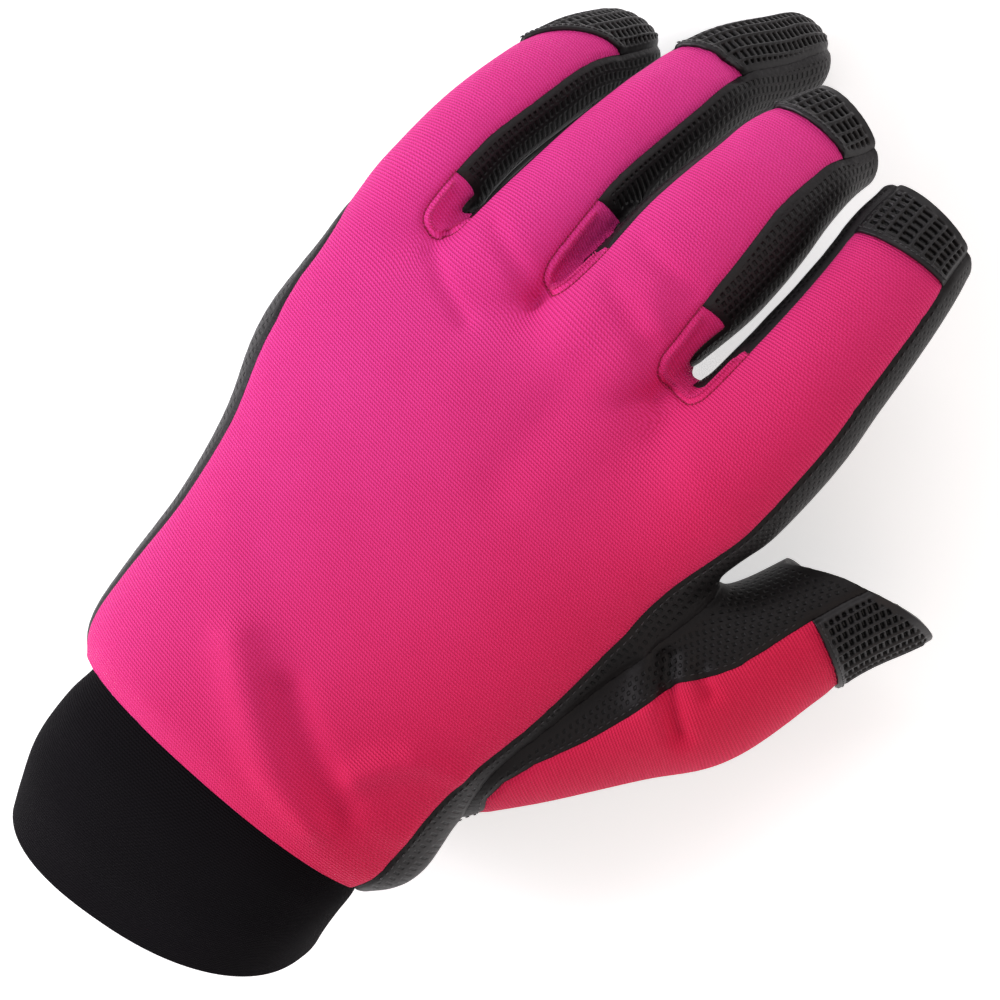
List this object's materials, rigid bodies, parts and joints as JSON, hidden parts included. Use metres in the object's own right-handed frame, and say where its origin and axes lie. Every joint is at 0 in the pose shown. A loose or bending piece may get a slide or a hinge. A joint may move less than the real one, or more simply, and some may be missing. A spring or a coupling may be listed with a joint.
{
  "type": "fishing glove",
  "caption": "Left-hand stretch-knit fishing glove with perforated palm and side strips, open thumb, index and middle fingertips, closed ring and little fingers, and a knitted cuff.",
  "frame": {"origin": "centre of the cuff's mouth, where the wrist goes in", "axes": "+X towards the thumb, +Y towards the fingertips, +Z out of the back of the hand"},
  "size_m": [0.1342, 0.2122, 0.066],
  "materials": {
    "pink_knit": "matte stretch knit with fine ribs across the hand",
    "black_mesh": "perforated synthetic leather, slightly glossy",
    "black_knit": "matte fine knit"
  },
  "bodies": {
    "root": {"pinky_cap": "black_mesh", "ring_cap": "black_mesh", "middle_cap": "black_mesh", "index_cap": "black_mesh", "thumb_cap": "black_mesh", "pinky_ring_gusset": "pink_knit", "ring_middle_gusset": "pink_knit", "middle_index_gusset": "pink_knit", "thumb_back": "pink_knit", "thumb_palm": "black_mesh", "pinky_inner_side": "black_mesh", "ring_outer_side": "black_mesh", "ring_inner_side": "black_mesh", "middle_outer_side": "black_mesh", "middle_inner_side": "black_mesh", "index_outer_side": "black_mesh", "ulnar_side_strip": "black_mesh", "radial_side_strip": "black_mesh", "palm_panel": "black_mesh", "back_panel": "pink_knit", "cuff": "black_knit"}
  },
  "joints": []
}
